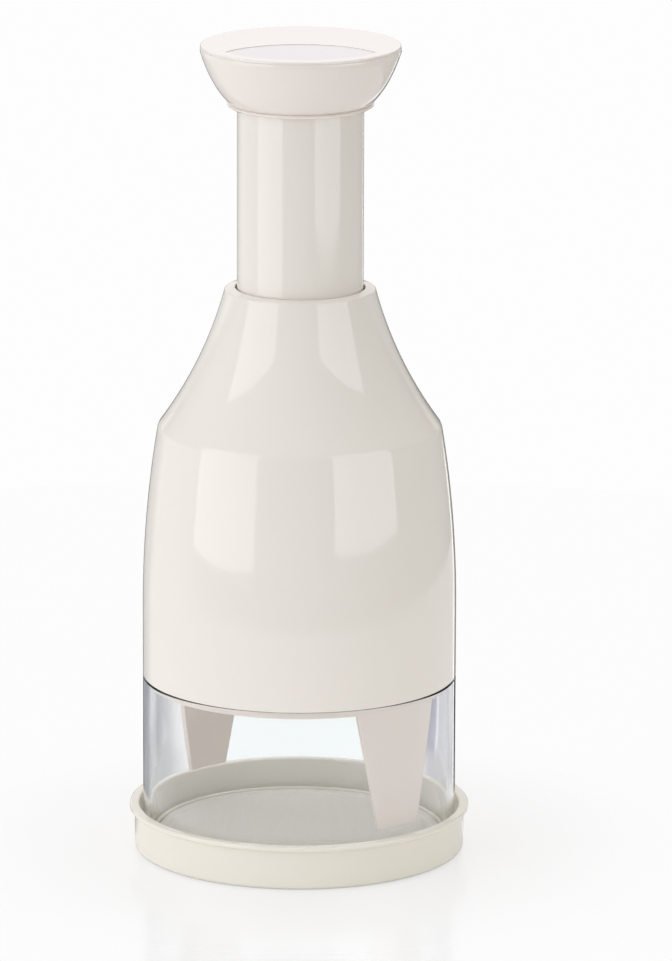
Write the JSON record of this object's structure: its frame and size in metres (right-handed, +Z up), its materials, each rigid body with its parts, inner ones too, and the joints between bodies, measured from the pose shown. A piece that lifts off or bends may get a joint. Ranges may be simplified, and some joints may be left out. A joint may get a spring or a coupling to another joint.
{
  "type": "onion chopper",
  "caption": "Push-plunger onion chopper: knob and tube press turning zigzag blades down through a bottle-shaped body into a clear container on a base dish.",
  "frame": {"origin": "centre of the base dish's underside, on the surface it stands on", "axes": "+Z up along the plunger's axis, -Y towards the side that the picture shows"},
  "size_m": [0.0978, 0.0978, 0.2349],
  "materials": {
    "ivory_plastic": "glossy moulded",
    "pale_plastic": "satin moulded",
    "inlay_plastic": "satin moulded",
    "clear_plastic": "clear moulded",
    "board_plastic": "matte",
    "slide_plastic": "matte",
    "blade_steel": "brushed",
    "spring_steel": "bright drawn",
    "bush_brass": "turned"
  },
  "bodies": {
    "base": {"base_dish": "ivory_plastic", "cutting_pad": "board_plastic"},
    "container": {"clear_container": "clear_plastic"},
    "housing": {"outer_body": "ivory_plastic", "inner_sleeve": "ivory_plastic", "neck_bush": "slide_plastic", "guide_nut": "slide_plastic", "spring_seat": "spring_steel", "return_spring": "spring_steel", "housing_screw_1": "spring_steel", "housing_screw_2": "spring_steel", "housing_screw_3": "spring_steel"},
    "plunger": {"plunger_tube": "ivory_plastic", "stop_ring": "pale_plastic", "shaft_bush": "bush_brass", "knob_bowl": "ivory_plastic", "knob_cap": "pale_plastic", "knob_inlay": "inlay_plastic", "knob_screw_1": "spring_steel", "knob_screw_2": "spring_steel", "knob_screw_3": "spring_steel"},
    "blades": {"twist_shaft": "blade_steel", "shaft_washer": "spring_steel", "shaft_screw": "spring_steel", "blade_carrier": "ivory_plastic", "carrier_washer": "spring_steel", "carrier_screw": "spring_steel", "zigzag_blade_1": "blade_steel", "zigzag_blade_2": "blade_steel", "wiper_guide_pin_1": "blade_steel", "wiper_guide_pin_2": "blade_steel", "wiper_spring_1": "spring_steel", "wiper_spring_2": "spring_steel"},
    "wiper": {"wiper_plate": "ivory_plastic"}
  },
  "joints": [
    {"name": "container_lift", "type": "slide", "parent": "base", "child": "container", "axis": [0, 0, 1], "range_m": [0, 0.06]},
    {"name": "housing_lift", "type": "slide", "parent": "container", "child": "housing", "axis": [0, 0, 1], "range_m": [0, 0.08]},
    {"name": "plunger_press", "type": "slide", "parent": "housing", "child": "plunger", "axis": [0, 0, -1], "range_m": [0, 0.0504], "stiffness_N_per_m": 300, "springref_m": -0.02, "deforming": ["return_spring"]},
    {"name": "blade_turn", "type": "hinge", "parent": "plunger", "child": "blades", "pos_m": [0, 0, 0.0837], "axis": [0, 0, 1], "range_deg": [0, 60]},
    {"name": "wiper_rise", "type": "slide", "parent": "blades", "child": "wiper", "axis": [0, 0, 1], "range_m": [0, 0.016], "stiffness_N_per_m": 60, "springref_m": -0.01, "deforming": ["wiper_spring_1", "wiper_spring_2"]}
  ],
  "couplings": [
    {"joint": "blade_turn", "follows": "plunger_press", "rad_per_m": 20.777}
  ]
}
